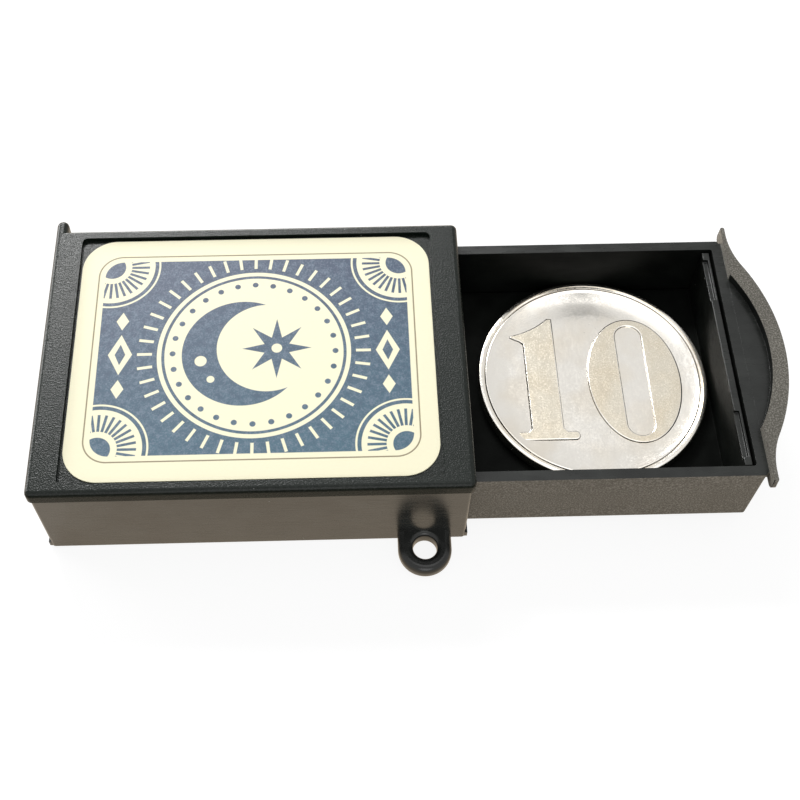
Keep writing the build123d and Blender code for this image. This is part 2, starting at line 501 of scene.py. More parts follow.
class Dressing:
    """One material's node tree as it is wired up."""

    def __init__(self, name: str) -> None:
        """Start a material with its Principled shader.

        Args:
            name: The material's name.
        """
        self.material = bpy.data.materials.new(name)
        self.material.use_nodes = True
        self.tree = self.material.node_tree
        self.shader = self.tree.nodes["Principled BSDF"]
        self.spot = self.tree.nodes.new("ShaderNodeTexCoord").outputs["Object"]

    def set(self, **values: float) -> None:
        """Set constants on the shader's own sockets.

        Args:
            **values: Socket names with underscores for spaces, and their values.
        """
        for name, value in values.items():
            self.shader.inputs[name.replace("_", " ")].default_value = value

    def feed(self, socket: str, source: Any) -> None:
        """Link a field or an output socket to one of the shader's sockets.

        Args:
            socket: The shader's socket.
            source: What feeds it.
        """
        output = source.socket if isinstance(source, Field) else source
        self.tree.links.new(output, self.shader.inputs[socket])

    def noise(self, size: float, detail: float = 2.0, stretch: Point = (1, 1, 1)) -> Field:
        """Make soft noise.

        Args:
            size: The size of its largest features, in metres.
            detail: How many finer layers it has.
            stretch: How much finer it is along each axis.

        Returns:
            A field about 0.5.
        """
        node = self.tree.nodes.new("ShaderNodeTexNoise")
        node.inputs["Scale"].default_value = 1 / size
        node.inputs["Detail"].default_value = detail
        self.tree.links.new(self.stretched(stretch), node.inputs["Vector"])
        return Field(self.tree, node.outputs[0])

    def stretched(self, stretch: Point) -> bpy.types.NodeSocket:
        """Give the object coordinates, scaled along each axis."""
        if stretch == (1, 1, 1):
            return self.spot
        node = self.tree.nodes.new("ShaderNodeMapping")
        node.inputs["Scale"].default_value = stretch
        self.tree.links.new(self.spot, node.inputs["Vector"])
        return node.outputs[0]

    def specks(self, spacing: float, share: float, radius: float) -> Field:
        """Scatter small round specks.

        Args:
            spacing: The size of the cells, each of which may hold one.
            share: The share of the cells that do.
            radius: A speck's radius, as a share of the spacing.

        Returns:
            A field that is 1 in a speck and 0 elsewhere.
        """
        node = self.tree.nodes.new("ShaderNodeTexVoronoi")
        node.inputs["Scale"].default_value = 1 / spacing
        self.tree.links.new(self.spot, node.inputs["Vector"])
        split = self.tree.nodes.new("ShaderNodeSeparateColor")
        self.tree.links.new(node.outputs["Color"], split.inputs[0])
        chosen = Field(self.tree, split.outputs[0]).apply("LESS_THAN", share)
        inside = Field(self.tree, node.outputs["Distance"]).ramp(0.6 * radius, radius, 1.0, 0.0)
        return chosen * inside

    def blend(self, share: Field, first: Any, second: Any) -> bpy.types.NodeSocket:
        """Mix two colours.

        Args:
            share: How much of the second.
            first: A colour or an output socket.
            second: A colour or an output socket.

        Returns:
            The mixed colour's socket.
        """
        node = self.tree.nodes.new("ShaderNodeMix")
        node.data_type = "RGBA"
        self.tree.links.new(share.socket, node.inputs["Factor"])
        for slot, colour in ((node.inputs[6], first), (node.inputs[7], second)):
            if isinstance(colour, bpy.types.NodeSocket):
                self.tree.links.new(colour, slot)
            else:
                slot.default_value = place(colour)
        return node.outputs[2]

    def bump(self, height: Field, depth: float, strength: float = 1.0) -> None:
        """Give the surface a relief too fine to model.

        Args:
            height: The relief, from 0 to 1.
            depth: How high 1 is, in metres.
            strength: How much of it shows.
        """
        node = self.tree.nodes.new("ShaderNodeBump")
        node.inputs["Distance"].default_value = depth
        node.inputs["Strength"].default_value = strength
        self.tree.links.new(height.socket, node.inputs["Height"])
        self.feed("Normal", node.outputs[0])


@dataclass(frozen=True)
class GrainedPlastic:
    """Black moulded plastic with the fine, even grain of a spark-eroded mould."""

    name: str
    colour: Colour = (0.004, 0.007, 0.005)
    light_colour: Colour = (0.015, 0.020, 0.016)
    grain: float = 0.22 * MM
    depth: float = 0.05 * MM
    roughness: float = 0.25
    gloss: float = 0.26
    cloud_size: float = 9 * MM
    dust_spacing: float = 2.6 * MM
    dust_colour: Colour = (0.5, 0.5, 0.48)

    def make(self) -> bpy.types.Material:
        """Build the material."""
        dressing = Dressing(self.name)
        grain = dressing.noise(self.grain, 3.0)
        cloud = dressing.noise(self.cloud_size)
        tips = (grain + cloud * 0.12).ramp(0.52, 0.74)
        base = dressing.blend(tips, self.colour, self.light_colour)
        dust = dressing.specks(self.dust_spacing, 0.16, 0.035)
        dressing.feed("Base Color", dressing.blend(dust * 0.5, base, self.dust_colour))
        dressing.feed("Roughness", grain.ramp(0.3, 0.7, self.roughness + 0.10, self.roughness - 0.06))
        dressing.set(Specular_IOR_Level=self.gloss)
        dressing.bump(grain, self.depth)
        return dressing.material


@dataclass(frozen=True)
class SmoothPlastic:
    """Black moulded plastic from a polished mould, with flow waves, rubbed streaks and a little dust."""

    name: str
    colour: Colour = (0.012, 0.013, 0.012)
    roughness: float = 0.22
    gloss: float = 0.5
    dust: float = 0.10
    wave_size: float = 5 * MM
    fine_size: float = 0.16 * MM
    streak_size: float = 1.2 * MM
    dust_spacing: float = 2.1 * MM
    dust_colour: Colour = (0.55, 0.54, 0.5)
    relief: float = 0.05 * MM

    def make(self) -> bpy.types.Material:
        """Build the material."""
        dressing = Dressing(self.name)
        wave = dressing.noise(self.wave_size)
        fine = dressing.noise(self.fine_size)
        streak = dressing.noise(self.streak_size, 3.0, (0.25, 1.0, 3.0))
        dust = dressing.specks(self.dust_spacing, self.dust, 0.05)
        pale = tuple(2.2 * part for part in self.colour)
        base = dressing.blend(wave.ramp(0.35, 0.7), self.colour, pale)
        dressing.feed("Base Color", dressing.blend(dust * 0.7, base, self.dust_colour))
        rubbed = streak.ramp(0.45, 0.75, self.roughness, self.roughness + 0.12)
        dressing.feed("Roughness", rubbed + dust * 0.4)
        dressing.set(Specular_IOR_Level=self.gloss)
        dressing.bump(wave * 0.7 + fine * 0.05, self.relief, 0.5)
        return dressing.material


@dataclass(frozen=True)
class PlatedSilver:
    """Silver plating on a moulded coin: soft waves, fine scratches and pin holes, with warmer flats."""

    name: str = "plated_silver"
    colour: Colour = (0.91, 0.875, 0.81)
    warm_colour: Colour = (0.85, 0.775, 0.655)
    roughness: float = 0.11
    wear: float = 0.16
    hole_colour: Colour = (0.30, 0.28, 0.25)
    cloud_size: float = 6 * MM
    grain_size: float = 0.24 * MM
    scratch_size: float = 0.7 * MM
    hole_spacing: float = 0.9 * MM
    relief: float = 0.12 * MM

    def make(self) -> bpy.types.Material:
        """Build the material."""
        dressing = Dressing(self.name)
        cloud = dressing.noise(self.cloud_size)
        grain = dressing.noise(self.grain_size, 3.0)
        scratch = dressing.noise(self.scratch_size, 2.0, (1.0, 0.25, 1.0))
        pin_holes = dressing.specks(self.hole_spacing, 0.16, 0.09)
        warm = cloud.ramp(0.42, 0.66) * 0.55
        base = dressing.blend(warm, self.colour, self.warm_colour)
        dressing.feed("Base Color", dressing.blend(pin_holes, base, self.hole_colour))
        worn = (grain + scratch * 0.3).ramp(0.5, 0.9, self.roughness, self.roughness + self.wear)
        dressing.feed("Roughness", worn)
        dressing.set(Metallic=1.0)
        height = cloud * 0.9 + grain * 0.025 + scratch * 0.01 - pin_holes * 0.2
        dressing.bump(height, self.relief, 0.35)
        return dressing.material


@dataclass(frozen=True)
class LabelCard:
    """Cream card printed with a moon medallion, rays, corner fans and diamonds, all in millimetres."""

    name: str = "label_card"
    card: Colour = (0.925, 0.885, 0.65)
    aged_card: Colour = (0.84, 0.78, 0.54)
    navy: Colour = (0.018, 0.045, 0.105)
    teal: Colour = (0.030, 0.115, 0.175)
    worn: Colour = (0.16, 0.20, 0.28)
    brown: Colour = (0.20, 0.155, 0.085)
    soft_edge: float = 0.07
    keyline_half: tuple[float, float] = (22.9, 16.9)
    keyline_corner: float = 3.4
    panel_half: tuple[float, float] = (22.0, 16.0)
    panel_corner: float = 2.6
    medal_radius: float = 13.7
    side_place: float = 18.9
    star_place: tuple[float, float] = (3.2, 0.6)
    ray_count: int = 44
    fan_ray_count: int = 32
    bead_count: int = 28

    def make(self, centre: Point) -> bpy.types.Material:
        """Build the material.

        Args:
            centre: The middle of the card.

        Returns:
            The material.
        """
        dressing = Dressing(self.name)
        mapping = dressing.tree.nodes.new("ShaderNodeMapping")
        mapping.inputs["Location"].default_value = tuple(-part / MM for part in centre)
        mapping.inputs["Scale"].default_value = (1 / MM, 1 / MM, 1 / MM)
        dressing.tree.links.new(dressing.spot, mapping.inputs["Vector"])
        split = dressing.tree.nodes.new("ShaderNodeSeparateXYZ")
        dressing.tree.links.new(mapping.outputs[0], split.inputs[0])
        x, y = (Field(dressing.tree, split.outputs[axis]) for axis in (0, 1))

        ink = self.cover(self.design(x, y))
        keyline = self.cover(abs(self.rounded_box(x, y, *self.keyline_half, self.keyline_corner)) - 0.10)
        mottle = dressing.noise(1.1 * MM, 4.0)
        screen = dressing.noise(0.22 * MM, 2.0)
        tone = (y * -0.022 + mottle * 0.9 + x * 0.004).ramp(0.1, 0.95)
        colour = dressing.blend(tone, self.navy, self.teal)
        colour = dressing.blend((screen + mottle * 0.6).ramp(0.72, 1.1) * 0.75, colour, self.worn)
        fibre = dressing.noise(0.5 * MM, 4.0, (1.0, 2.0, 1.0))
        paper = dressing.blend(fibre.ramp(0.4, 0.75) * 0.16, self.card, self.aged_card)
        printed = dressing.blend(keyline * 0.9, dressing.blend(ink * 0.97, paper, colour), self.brown)
        dressing.feed("Base Color", printed)
        dressing.feed("Roughness", ink.ramp(0.0, 1.0, 0.55, 0.42))
        dressing.set(Specular_IOR_Level=0.35)
        dressing.bump(fibre * 0.5 + ink * 0.15, 0.02 * MM, 0.4)
        return dressing.material

    def cover(self, distance: Field) -> Field:
        """Turn a shape given as a distance into a share of ink."""
        return distance.ramp(-self.soft_edge / 2, self.soft_edge / 2, 1.0, 0.0)

    @staticmethod
    def radius(x: Field, y: Field) -> Field:
        """Give the distance from the origin."""
        return (x * x + y * y).apply("SQRT")

    def disc(self, x: Field, y: Field, radius: float) -> Field:
        """Give a disc about the origin, as a distance."""
        return self.radius(x, y) - radius

    def rounded_box(self, x: Field, y: Field, half_x: float, half_y: float, corner: float) -> Field:
        """Give a box about the origin with round corners, as a distance.

        Args:
            x: Place along X.
            y: Place along Y.
            half_x: Half its length.
            half_y: Half its width.
            corner: Its corner radius.

        Returns:
            The distance.
        """
        over_x, over_y = abs(x) - (half_x - corner), abs(y) - (half_y - corner)
        outside = self.radius(over_x.apply("MAXIMUM", 0.0), over_y.apply("MAXIMUM", 0.0))
        inside = (over_x & over_y).apply("MINIMUM", 0.0)
        return outside + inside - corner

    @staticmethod
    def diamond(x: Field, y: Field, half_x: float, half_y: float) -> Field:
        """Give a diamond about the origin, as a distance."""
        slope = math.hypot(1 / half_x, 1 / half_y)
        return (abs(x) * (1 / half_x) + abs(y) * (1 / half_y) - 1.0) * (1 / slope)

    def wedge(self, x: Field, y: Field, count: int) -> tuple[Field, Field]:
        """Fold the plane into one of a ring of equal wedges.

        Args:
            x: Place along X.
            y: Place along Y.
            count: How many wedges go round.

        Returns:
            The places along and across the wedge's own middle line.
        """
        half = math.pi / count
        turn = y.apply("ARCTAN2", x).apply("WRAP", half, -half)
        far = self.radius(x, y)
        return far * turn.apply("COSINE"), far * turn.apply("SINE")

    def star(self, x: Field, y: Field, points: int, tip: float, notch: float) -> Field:
        """Give a star about the origin, as a distance.

        Args:
            x: Place along X.
            y: Place along Y.
            points: How many points it has.
            tip: The radius of its tips.
            notch: The radius of its notches.

        Returns:
            The distance.
        """
        along, across = self.wedge(x, y, points)
        notch_x, notch_y = notch * math.cos(math.pi / points), notch * math.sin(math.pi / points)
        length = math.hypot(tip - notch_x, notch_y)
        return ((along - tip) * (notch_y / length)) + abs(across) * ((tip - notch_x) / length)

    def design(self, x: Field, y: Field) -> Field:
        """Draw all that is printed in blue, as one distance.

        Args:
            x: Place along the label.
            y: Place across the label.

        Returns:
            The distance, below 0 where there is ink.
        """
        medal = self.medal_radius
        half_x, half_y = self.panel_half
        far = self.radius(x, y)
        panel = self.rounded_box(x, y, half_x, half_y, self.panel_corner)

        across = self.wedge(x, y, self.ray_count)[1]
        rays = (abs(across) - 0.22) & (abs(far - (medal + 1.75)) - 1.05)
        side_x = abs(x) - self.side_place
        side = self.diamond(side_x, y, 1.7, 3.3)
        side = side | self.diamond(side_x, abs(y) - 5.6, 0.9, 1.5)
        corner_x, corner_y = (half_x - 1.0) - abs(x), (half_y - 1.0) - abs(y)
        corner_far = self.radius(corner_x, corner_y)
        fan_across = self.wedge(corner_x, corner_y, self.fan_ray_count)[1]
        fan_rays = (abs(fan_across) - 0.2) & (abs(corner_far - 4.1) - 1.3)
        fan = self.disc(corner_x, corner_y, 6.2).less(fan_rays).less(corner_far - 1.9)
        fan = fan | (abs(corner_far - 6.9) - 0.14)

        field_ink = panel.less(far - medal).less(rays).less(side).less(fan)
        inlay = self.diamond(side_x, y, 0.75, 1.7)
        ring = abs(far - (medal - 0.85)) - 0.22
        moon = self.disc(x + 1.6, y, 8.6).less(self.disc(x - 1.9, y - 0.8, 7.2))
        crater = self.disc(x + 7.5, y + 1.3, 0.85) | self.disc(x + 6.0, y + 4.3, 0.55)
        star_x, star_y = x - self.star_place[0], y - self.star_place[1]
        star = self.star(star_x, star_y, 8, 4.9, 1.9)
        ring_along, ring_across = self.wedge(x, y, self.bead_count)
        beads = self.disc(ring_along - (medal - 2.2), ring_across, 0.42)
        star_eye = self.disc(star_x, star_y, 0.75)
        medal_ink = ring | moon.less(crater) | star.less(star_eye) | beads
        return field_ink | medal_ink | inlay


# ---------------------------------------------------------------- sleeve


@dataclass
class SleeveLid:
    """The sleeve's top plate, with the label's recess and the small ear at its far left corner."""

    material: bpy.types.Material
    near_side_shade_material: bpy.types.Material
    corner_radius: float = 0.85 * MM
    edge_radius: float = 0.8 * MM
    ear_width: float = 1.75 * MM
    ear_tip_radius: float = 0.85 * MM
    recess_end_margin: float = 4.15 * MM
    recess_side_margin: float = 1.6 * MM
    recess_depth: float = 0.7 * MM
    recess_radius: float = 0.8 * MM
    soft_edge: float = 0.13 * MM

    def build(self) -> None:
        """Model the plate, its ear and its recess."""
        low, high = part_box("sleeve_lid")
        half_width = -low.y
        plate = Blank.block("lid_plate", low, (high.x, half_width, high.z))
        plate.shape(
            Pick.FACES,
            everything,
            bpy.ops.mesh.bisect,
            plane_co=(low.x + self.ear_width, 0, 0),
            plane_no=(1, 0, 0),
        )
        plate.shape(
            Pick.FACES,
            lambda face: face.normal.y > 0.9 and face.calc_center_median().x < low.x + self.ear_width,
            bpy.ops.mesh.extrude_region_move,
            TRANSFORM_OT_translate={"value": (0, high.y - half_width, 0)},
        )
        plate.round_edges(
            lambda edge: runs_along(edge, 2) and middle(edge).y > half_width + MM, self.ear_tip_radius
        )
        plate.round_edges(
            lambda edge: runs_along(edge, 2)
            and abs(middle(edge).y) < half_width + MM
            and abs(middle(edge).y) > half_width - 0.1 * MM
            and abs(middle(edge).x) > high.x - 0.1 * MM
            and not (middle(edge).x < 0 and middle(edge).y > 0),
            self.corner_radius,
        )
        plate.round_edges(lambda edge: is_top_outline(edge, high.z), self.edge_radius)

        side = half_width - self.recess_side_margin
        pocket = Blank.block(
            "pocket",
            (low.x + self.recess_end_margin, -side, high.z - self.recess_depth),
            (high.x - self.recess_end_margin, side, high.z + MM),
        )
        pocket.round_edges(lambda edge: runs_along(edge, 2), self.recess_radius, 10)
        plate.combine(pocket, Joining.CUT)
        plate.soften(self.soft_edge).finish()
        plate.hand_over(self.material, "sleeve", "sleeve_lid", "black_grained")
        # Painted shade: the faces of the near side take a low-gloss copy of the grain, which keeps them dark.
        plate.item.data.materials.append(self.near_side_shade_material)
        for face in plate.item.data.polygons:
            if face.normal.y < -0.5 and face.normal.z < 0.5:
                face.material_index = 1


@dataclass
class SleeveBase:
    """The sleeve's floor and side walls, with the key loop."""

    material: bpy.types.Material
    floor_plate: float = 1.5 * MM
    wall: float = 1.5 * MM
    wall_inset: float = 0.3 * MM
    draft: float = 0.276 * MM
    foot_radius: float = 0.5 * MM
    plate_inset: float = 0.2 * MM
    plate_rounding: float = 0.28 * MM
    loop_place: float = 23.6 * MM
    loop_radius: float = 3.8 * MM
    loop_bore: float = 1.7 * MM
    loop_height: float = 2.6 * MM
    loop_foot: float = 0.3 * MM
    loop_rounding: float = 1.0 * MM
    bore_rounding: float = 0.7 * MM
    loop_embed: float = 0.5 * MM
    soft_edge: float = 0.14 * MM

    def build(self) -> None:
        """Model the walls, the floor plate and the loop."""
        low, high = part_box("sleeve_base")
        half_top = high.y
        half_foot = half_top - self.draft
        wall_end = high.x - self.wall_inset
        walls = Blank.block("base_walls", (-wall_end, -half_top, 0), (wall_end, half_top, high.z))
        walls.lean(half_foot, half_top, high.z / 2)
        walls.round_edges(
            lambda edge: middle(edge).z < NEAR or runs_along(edge, 2), self.foot_radius
        )
        bay = Blank.block(
            "bay",
            (low.x - MM, self.wall - half_top, self.floor_plate),
            (high.x + MM, half_top - self.wall, high.z + MM),
        )
        walls.combine(bay, Joining.CUT)
        plate = Blank.block(
            "plate",
            (low.x, self.plate_inset - half_foot, 0),
            (high.x, half_foot - self.plate_inset, self.floor_plate),
        )
        plate.round_edges(lambda edge: middle(edge).z < NEAR, self.plate_rounding, 4)
        walls.combine(plate, Joining.ADD)
        walls.combine(self.loop(low.y + self.loop_radius, half_foot), Joining.ADD)
        walls.soften(self.soft_edge).finish()
        walls.hand_over(self.material, "sleeve", "sleeve_base", "black_smooth")

    def loop(self, centre_y: float, half_foot: float) -> Blank:
        """Model the key loop: an eye with a straight neck, cut off flat inside the wall.

        Args:
            centre_y: The bore's place along Y.
            half_foot: Half the sleeve's width at its foot.

        Returns:
            The loop.
        """
        foot = (self.loop_place, centre_y, self.loop_foot)
        left, right = foot[0] - self.loop_radius, foot[0] + self.loop_radius
        back = centre_y + 2 * self.loop_radius
        ring = Blank.point("key_loop", (left, back, foot[2]))
        ring.draw([(left, centre_y, foot[2])])
        ring.sweep(foot, math.pi, 48)
        ring.draw([(right, back, foot[2])])
        ring.fill_and_raise(self.loop_height)
        ring.round_edges(is_level, self.loop_rounding, 8)
        bore = Blank.rod(
            "bore",
            (foot[0], foot[1], foot[2] - self.bore_rounding),
            self.loop_bore,
            self.loop_height + 2 * self.bore_rounding,
            96,
        )
        ring.combine(bore, Joining.CUT)
        bore_reach = self.loop_bore + 5 * NEAR
        ring.round_edges(
            lambda edge: is_level(edge)
            and all(math.hypot(v.co.x - foot[0], v.co.y - foot[1]) < bore_reach for v in edge.verts),
            self.bore_rounding,
            6,
        )
        ring.shape(
            Pick.FACES,
            everything,
            bpy.ops.mesh.bisect,
            plane_co=(0, self.loop_embed - half_foot, 0),
            plane_no=(0, 1, 0),
            use_fill=True,
            clear_outer=True,
        )
        return ring


@dataclass
class Label:
    """The printed card in the lid's recess."""

    finish: LabelCard
    corner_radius: float = 5.0 * MM
    soft_edge: float = 0.06 * MM

    def build(self) -> None:
        """Model the card and print it."""
        low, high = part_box("label")
        card = Blank.block("printed_label", low, high)
        card.round_edges(lambda edge: runs_along(edge, 2), self.corner_radius, 20)
        card.soften(self.soft_edge, 2).finish()
        centre = (low + high) / 2
        card.hand_over(self.finish.make(tuple(centre)), "sleeve", "label", "label_card")


# ---------------------------------------------------------------- drawer


@dataclass
class Drawer:
    """The drawer: floor, side walls, front wall and the bow-shaped lip with its two ears."""

    material: bpy.types.Material
    inside_shade_material: bpy.types.Material
    rim_sheen_material: bpy.types.Material
    wall: float = 1.5 * MM
    front: float = 1.2 * MM
    floor: float = 1.5 * MM
    draft: float = 0.23 * MM
    rim_drop: float = 1.4 * MM
    foot_radius: float = 0.8 * MM
    front_radius: float = 0.4 * MM
    inner_radius: float = 0.3 * MM
    lip_offset: float = 0.3 * MM
    ear_thickness: float = 0.6 * MM
    ear_reach: float = 1.55 * MM
    bow_reach: float = 5.6 * MM
    ear_width: float = 1.38 * MM
    neck_radius: float = 12.0 * MM
    hollow_half_chord: float = 12.6 * MM
    hollow_depth: float = 3.4 * MM
    shelf: float = 1.4 * MM
    tip_radius: float = 0.25 * MM
    ear_foot_radius: float = 1.0 * MM
    soft_edge: float = 0.2 * MM
    rim_sheen_band: float = 0.25 * MM
    underside_margin: float = 0.1 * MM

    def build(self) -> None:
        """Model the tray and its lip as one moulding."""
        low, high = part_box("drawer")
        rim = high.z - self.rim_drop
        half = high.y - self.ear_reach
        lip_inner = high.x - self.bow_reach
        front_plane = lip_inner - self.lip_offset
        tray = Blank.block("drawer_tray", (low.x, -half, low.z), (front_plane, half, rim))
        tray.lean(half - self.draft, half, (low.z + rim) / 2)
        tray.round_edges(
            lambda edge: middle(edge).z < low.z + NEAR and runs_along(edge, 0), self.foot_radius
        )
        tray.round_edges(
            lambda edge: middle(edge).x > front_plane - NEAR and middle(edge).z < rim - NEAR,
            self.front_radius,
        )
        hollow = Blank.block(
            "hollow",
            (low.x - MM, self.wall - half, low.z + self.floor),
            (front_plane - self.front, half - self.wall, rim + MM),
        )
        hollow.round_edges(
            lambda edge: runs_along(edge, 2)
            or (middle(edge).z < low.z + self.floor + NEAR and not runs_along(edge, 1)),
            self.inner_radius,
            3,
        )
        tray.combine(hollow, Joining.CUT)
        tray.combine(self.lip(lip_inner, half + self.ear_reach, rim, high.z), Joining.ADD)
        web = Blank.block(
            "web",
            (front_plane - self.front / 2, self.front_radius - half, rim - self.shelf),
            (lip_inner + self.ear_thickness / 2, half - self.front_radius, rim),
        )
        tray.combine(web, Joining.ADD)
        tray.soften(self.soft_edge).finish()
        tray.hand_over(self.material, "drawer", "drawer", "black_grained")
        self.shade_and_sheen(tray.item, rim, lip_inner)

    def lip(self, inner: float, half: float, rim: float, top: float) -> Blank:
        """Model the lip: ears, hollow necks and bow in plan, with a hollow that leaves the shelf.

        Args:
            inner: Place of its inner face along X.
            half: Half its width.
            rim: Level of the drawer's rim, which the shelf shares.
            top: Level of the band's top.

        Returns:
            The lip.
        """
        foot = rim - self.shelf
        face = inner + self.ear_thickness
        neck_y = half - self.ear_width
        rise = self.bow_reach - self.ear_thickness
        radii = (neck_y**2 + rise**2) / (2 * rise)
        bow_x = inner + self.bow_reach - (radii - self.neck_radius)
        neck_x = face + self.neck_radius
        neck_angle = math.asin(neck_y / radii)
        lip = Blank.point("lip", (inner, -half, foot))
        lip.draw([(face, -half, foot), (face, -neck_y, foot)])
        lip.sweep((neck_x, -neck_y, foot), -neck_angle, 10)
        lip.sweep((bow_x, 0, foot), 2 * neck_angle, 48)
        lip.sweep((neck_x, neck_y, foot), -neck_angle, 10)
        lip.draw([(face, half, foot), (inner, half, foot)])
        lip.fill_and_raise(top - foot)

        def at_tip(edge: bmesh.types.BMEdge) -> bool:
            """Tell whether an edge lies at the tip of an ear."""
            return abs(middle(edge).y) > half - NEAR

        lip.round_edges(
            lambda edge: at_tip(edge) and runs_along(edge, 0) and middle(edge).z < rim,
            self.ear_foot_radius,
            8,
        )
        lip.round_edges(lambda edge: at_tip(edge) and runs_along(edge, 2), self.tip_radius)
        hollow_radius = (self.hollow_half_chord**2 + self.hollow_depth**2) / (2 * self.hollow_depth)
        spot = (inner + self.hollow_depth - hollow_radius, 0, rim)
        lip.combine(Blank.rod("shelf_cut", spot, hollow_radius, 2 * self.shelf, 256), Joining.CUT)
        return lip

    def shade_and_sheen(self, item: bpy.types.Object, rim: float, lip_inner: float) -> None:
        """Give the inside and the band's inner face a near-black, nearly glossless copy as painted shade, and
        the rim and shelf tops a lighter, glossier copy as painted sheen.

        Args:
            item: The drawer.
            rim: Level of its rim.
            lip_inner: Place of the lip's inner face along X.
        """
        item.data.materials.append(self.inside_shade_material)
        item.data.materials.append(self.rim_sheen_material)
        low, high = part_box("drawer")
        inner_half = high.y - self.ear_reach - self.wall / 2  # amid the side walls
        inner_end = lip_inner - self.lip_offset - self.front / 2  # amid the front wall
        for face in item.data.polygons:
            spot = face.center
            # Painted shade: the inside and the lip band's inner face take the near-black, nearly glossless
            # copy.
            inside = (
                spot.x < inner_end
                and abs(spot.y) < inner_half
                and spot.z > low.z + self.underside_margin
            )
            band = spot.z > rim and face.normal.x < -0.5
            # Painted sheen: the rim and shelf tops take the lighter, glossier copy.
            top = rim - self.rim_sheen_band < spot.z < rim + NEAR and face.normal.z > 0.3
            if top:
                face.material_index = 2
            elif inside or band:
                face.material_index = 1


@dataclass
class CoinSlide:
    """The thin inner slide: a floor with a lip at each end, and two steps in the front lip."""

    material: bpy.types.Material
    lip_sheen_material: bpy.types.Material
    floor: float = 1.4 * MM
    lip: float = 1.05 * MM
    post: float = 1.3 * MM
    step_length: float = 7.2 * MM
    step_depth: float = 0.6 * MM
    step_backing: float = 0.35 * MM
    soft_edge: float = 0.12 * MM
    sheen_depth: float = 0.9 * MM

    def build(self) -> None:
        """Model the slide, with a lighter, glossier copy on the tops of its lips as painted sheen."""
        low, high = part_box("coin_slide")
        slide = Blank.block("slide_carrier", low, high)
        bed = Blank.block(
            "bed",
            (low.x + self.lip, low.y - MM, low.z + self.floor),
            (high.x - self.lip, high.y + MM, high.z + MM),
        )
        slide.combine(bed, Joining.CUT)
        middle_y = high.y - self.post - self.step_length / 2
        for side in (-1, 1):
            notch = Blank.block(
                "notch",
                (high.x - self.lip - MM, side * middle_y - self.step_length / 2, high.z - self.step_depth),
                (high.x - self.step_backing, side * middle_y + self.step_length / 2, high.z + MM),
            )
            slide.combine(notch, Joining.CUT)
        slide.soften(self.soft_edge).finish()
        slide.hand_over(self.material, "slide", "coin_slide", "black_smooth")
        slide.item.data.materials.append(self.lip_sheen_material)
        # Painted sheen: the lip tops take the lighter, glossier copy.
        for face in slide.item.data.polygons:
            if face.normal.z > 0.3 and face.center.z > high.z - self.sheen_depth:
                face.material_index = 1


# ---------------------------------------------------------------- coin


